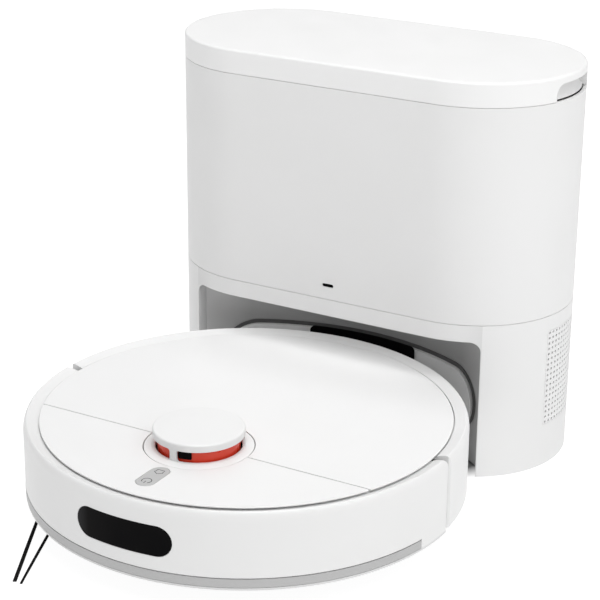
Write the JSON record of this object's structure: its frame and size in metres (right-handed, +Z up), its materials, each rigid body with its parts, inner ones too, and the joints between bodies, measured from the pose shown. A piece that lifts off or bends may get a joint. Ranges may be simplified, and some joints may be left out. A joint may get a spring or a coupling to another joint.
{
  "type": "robot vacuum with dust-emptying dock",
  "caption": "Round white robot vacuum with a turret sensor, backed into an upright stadium-shaped dock that charges it and empties its dust.",
  "frame": {"origin": "on the floor, at the middle of the dock's footprint", "axes": "+Z up; -Y the front, the way the robot drives out; +X to the right of someone facing the dock"},
  "size_m": [0.354, 0.4876, 0.3376],
  "materials": {
    "white_shell": "fine satin moulded white",
    "grey_trim": "satin mid grey",
    "black_gloss": "polished infrared-clear black",
    "dark_frame": "moulded dark grey",
    "inner_grey": "moulded grey",
    "rotor_red": "deep orange red",
    "black_rubber": "soft black",
    "tyre_rubber": "ribbed black",
    "steel": "motor can",
    "contact_metal": "nickel plated",
    "circuit_board": "green solder mask",
    "battery_wrap": "heat-shrink wrap",
    "filter_paper": "pleated filter paper",
    "bag_fleece": "non-woven fleece",
    "bristle": "black nylon and rubber",
    "smoky_plastic": "smoky translucent"
  },
  "bodies": {
    "dock": {"dock_lower_housing": "white_shell", "dock_upper_housing": "white_shell", "docking_panel": "white_shell", "ir_window": "black_gloss", "suction_gasket": "black_rubber", "status_led": "black_gloss", "exhaust_grille": "white_shell", "dust_bag": "bag_fleece", "suction_duct": "inner_grey", "suction_motor": "steel", "power_board": "circuit_board", "power_inlet": "dark_frame", "anti_slip_foot": "black_rubber"},
    "dock_lid": {"dock_lid": "white_shell"},
    "dock_contact_left": {"dock_contact_left": "contact_metal"},
    "dock_contact_right": {"dock_contact_right": "contact_metal"},
    "robot": {"chassis": "dark_frame", "mid_frame": "dark_frame", "rear_shell": "white_shell", "front_deck": "white_shell", "turret_ring": "white_shell", "turret_cap": "white_shell", "lidar_base": "dark_frame", "lidar_motor": "steel", "lidar_belt": "black_rubber", "brush_housing": "dark_frame", "brush_guard": "dark_frame", "brush_motor": "steel", "side_brush_motor": "dark_frame", "dust_box": "smoky_plastic", "dust_box_lid": "inner_grey", "dust_filter": "filter_paper", "fan_housing": "dark_frame", "fan_motor": "steel", "battery": "battery_wrap", "main_board": "circuit_board", "charge_contact_left": "contact_metal", "charge_contact_right": "contact_metal"},
    "bumper": {"front_bumper": "white_shell", "bumper_window": "black_gloss", "bumper_strip": "grey_trim"},
    "robot_lid": {"rear_lid": "white_shell"},
    "lidar_rotor": {"lidar_rotor": "rotor_red", "lidar_window": "black_gloss"},
    "lidar_pulley": {"lidar_pulley": "inner_grey"},
    "key": {"key_rocker": "grey_trim"},
    "left_arm": {"left_wheel_arm": "inner_grey", "left_wheel_motor": "steel"},
    "right_arm": {"right_wheel_arm": "inner_grey", "right_wheel_motor": "steel"},
    "left_wheel": {"left_tyre": "tyre_rubber", "left_rim": "inner_grey"},
    "right_wheel": {"right_tyre": "tyre_rubber", "right_rim": "inner_grey"},
    "caster": {"caster_fork": "dark_frame"},
    "caster_wheel": {"caster_wheel": "tyre_rubber"},
    "main_brush": {"main_brush": "bristle"},
    "side_brush": {"side_brush_hub": "dark_frame", "side_brush_bristles": "bristle"},
    "fan_impeller": {"fan_impeller": "inner_grey"}
  },
  "joints": [
    {"name": "drive_out", "type": "slide", "parent": "dock", "child": "robot", "axis": [0, -1, 0], "range_m": [0, 0.35]},
    {"name": "bumper_press", "type": "slide", "parent": "robot", "child": "bumper", "axis": [0, 1, 0], "range_m": [0, 0.003], "stiffness_N_per_m": 400, "springref_m": -0.003},
    {"name": "rear_lid_hinge", "type": "hinge", "parent": "robot", "child": "robot_lid", "pos_m": [0, -0.0533, 0.0852], "axis": [-1, 0, 0], "range_deg": [0, 40]},
    {"name": "lidar_spin", "type": "hinge", "parent": "robot", "child": "lidar_rotor", "pos_m": [0, -0.2845, 0.085], "axis": [0, 0, 1], "continuous": true},
    {"name": "lidar_pulley_spin", "type": "hinge", "parent": "robot", "child": "lidar_pulley", "pos_m": [0.046, -0.303, 0.078], "axis": [0, 0, 1], "continuous": true},
    {"name": "key_rock", "type": "hinge", "parent": "robot", "child": "key", "pos_m": [0, -0.347, 0.0838], "axis": [1, 0, 0], "range_deg": [-2, 2], "stiffness_Nm_per_rad": 0.05},
    {"name": "left_wheel_drop", "type": "hinge", "parent": "robot", "child": "left_arm", "pos_m": [-0.1, -0.163, 0.04], "axis": [1, 0, 0], "range_deg": [0, 16], "stiffness_Nm_per_rad": 0.2, "springref_deg": 34.38},
    {"name": "right_wheel_drop", "type": "hinge", "parent": "robot", "child": "right_arm", "pos_m": [0.1, -0.163, 0.04], "axis": [1, 0, 0], "range_deg": [0, 16], "stiffness_Nm_per_rad": 0.2, "springref_deg": 34.38},
    {"name": "left_wheel_spin", "type": "hinge", "parent": "left_arm", "child": "left_wheel", "pos_m": [-0.118, -0.215, 0.035], "axis": [1, 0, 0], "continuous": true},
    {"name": "right_wheel_spin", "type": "hinge", "parent": "right_arm", "child": "right_wheel", "pos_m": [0.118, -0.215, 0.035], "axis": [1, 0, 0], "continuous": true},
    {"name": "caster_swivel", "type": "hinge", "parent": "robot", "child": "caster", "pos_m": [0, -0.327, 0.03], "axis": [0, 0, 1], "continuous": true},
    {"name": "caster_roll", "type": "hinge", "parent": "caster", "child": "caster_wheel", "pos_m": [0, -0.33, 0.013], "axis": [1, 0, 0], "continuous": true},
    {"name": "main_brush_spin", "type": "hinge", "parent": "robot", "child": "main_brush", "pos_m": [0, -0.227, 0.0195], "axis": [1, 0, 0], "continuous": true},
    {"name": "side_brush_spin", "type": "hinge", "parent": "robot", "child": "side_brush", "pos_m": [-0.11, -0.315, 0.01], "axis": [0, 0, 1], "continuous": true, "deforming": ["side_brush_bristles"]},
    {"name": "fan_spin", "type": "hinge", "parent": "robot", "child": "fan_impeller", "pos_m": [0.088, -0.128, 0.036], "axis": [0, 0, 1], "continuous": true},
    {"name": "dock_lid_lift", "type": "slide", "parent": "dock", "child": "dock_lid", "axis": [0, 0, 1], "range_m": [0, 0.1]},
    {"name": "contact_left_press", "type": "slide", "parent": "dock", "child": "dock_contact_left", "axis": [0, 1, 0], "range_m": [0, 0.002], "stiffness_N_per_m": 200, "springref_m": -0.003},
    {"name": "contact_right_press", "type": "slide", "parent": "dock", "child": "dock_contact_right", "axis": [0, 1, 0], "range_m": [0, 0.002], "stiffness_N_per_m": 200, "springref_m": -0.003}
  ],
  "couplings": [
    {"joint": "lidar_pulley_spin", "follows": "lidar_spin", "ratio": 6.2444}
  ]
}
